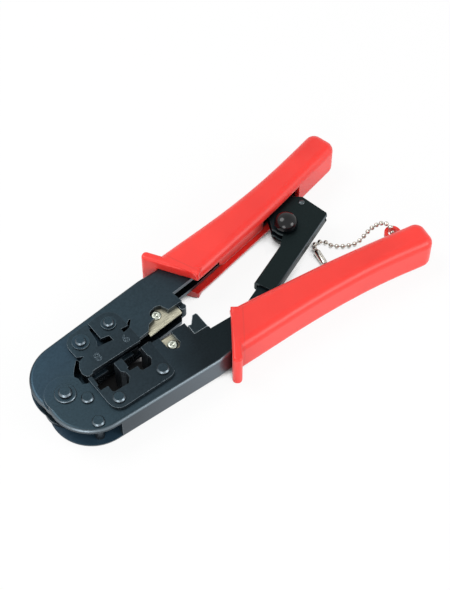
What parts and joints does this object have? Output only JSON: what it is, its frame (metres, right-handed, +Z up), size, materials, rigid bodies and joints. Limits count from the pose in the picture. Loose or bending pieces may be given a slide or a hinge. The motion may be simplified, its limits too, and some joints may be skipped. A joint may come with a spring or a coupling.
{
  "type": "modular plug crimping tool",
  "caption": "Ratchet crimping tool for modular plugs: hinged pressed-steel jaws with two plug dies, cutter, red handle grips, release knob and bead chain.",
  "frame": {"origin": "middle of the tool's underside, lying on its side, the chain left out", "axes": "+X from the nose to the handle ends along the lower jaw, +Y towards the upper jaw, +Z up, along the pivot rivet"},
  "size_m": [0.2015, 0.0894, 0.02],
  "materials": {
    "blued_steel": "black-oxide sheet steel with a cold blue cast and bright worn edges",
    "bright_steel": "ground bright steel",
    "red_grip": "soft matte red moulding",
    "black_knob": "glossy black",
    "nickel_chain": "bright nickel plating",
    "spring_steel": "dark spring wire"
  },
  "bodies": {
    "lower_jaw": {"lower_frame": "blued_steel", "lower_grip": "red_grip", "die_plates": "blued_steel", "die_block": "blued_steel", "lower_blade": "bright_steel", "lower_blade_seat": "blued_steel", "lower_blade_screw": "bright_steel", "cable_stop": "blued_steel", "pivot_rivet": "blued_steel", "pivot_washers": "blued_steel", "pivot_sleeve": "blued_steel", "return_spring": "spring_steel", "frame_rivets": "blued_steel", "spacer_posts": "blued_steel", "rack_pin": "bright_steel", "rack_spacers": "bright_steel", "ball_chain": "nickel_chain", "chain_connector": "nickel_chain"},
    "upper_jaw": {"upper_frame": "blued_steel", "upper_grip": "red_grip", "punch_rivets": "blued_steel", "punch_washers": "blued_steel", "upper_blade": "bright_steel", "upper_blade_seat": "blued_steel", "upper_blade_screw": "bright_steel", "blade_end_stop": "blued_steel", "housing_pin": "bright_steel"},
    "punch_carrier": {"punch_plates": "blued_steel", "punch_holder": "blued_steel", "punch_8p": "blued_steel", "punch_6p": "blued_steel"},
    "rack": {"ratchet_rack": "blued_steel"},
    "housing": {"ratchet_housing": "blued_steel", "housing_rivet": "blued_steel", "pawl_spring": "spring_steel"},
    "release": {"pawl": "bright_steel", "pawl_shaft": "bright_steel", "release_knob": "black_knob", "release_wheel": "black_knob"}
  },
  "joints": [
    {"name": "jaw_hinge", "type": "hinge", "parent": "lower_jaw", "child": "upper_jaw", "pos_m": [-0.08952, -0.0115, 0.01], "axis": [0, 0, 1], "range_deg": [-7.8, 0], "stiffness_Nm_per_rad": 0.8, "springref_deg": 11.46},
    {"name": "punch_hinge", "type": "hinge", "parent": "upper_jaw", "child": "punch_carrier", "pos_m": [-0.06897, 0.00772, 0.01], "axis": [0, 0, 1], "range_deg": [0, 5.5]},
    {"name": "rack_hinge", "type": "hinge", "parent": "lower_jaw", "child": "rack", "pos_m": [0.00248, -0.025, 0.01], "axis": [0, 0, 1], "range_deg": [-18.64, 0]},
    {"name": "housing_hinge", "type": "hinge", "parent": "upper_jaw", "child": "housing", "pos_m": [0.05301, 0.02515, 0.01], "axis": [0, 0, 1], "range_deg": [-10.84, 0]},
    {"name": "release_hinge", "type": "hinge", "parent": "housing", "child": "release", "pos_m": [0.05064, 0.00943, 0.01], "axis": [0, 0, 1], "range_deg": [-12, 0], "stiffness_Nm_per_rad": 0.05, "springref_deg": 11.46}
  ],
  "couplings": [
    {"joint": "punch_hinge", "follows": "jaw_hinge", "ratio": -0.705},
    {"joint": "rack_hinge", "follows": "jaw_hinge", "ratio": 2.389},
    {"joint": "housing_hinge", "follows": "jaw_hinge", "ratio": 1.389}
  ]
}
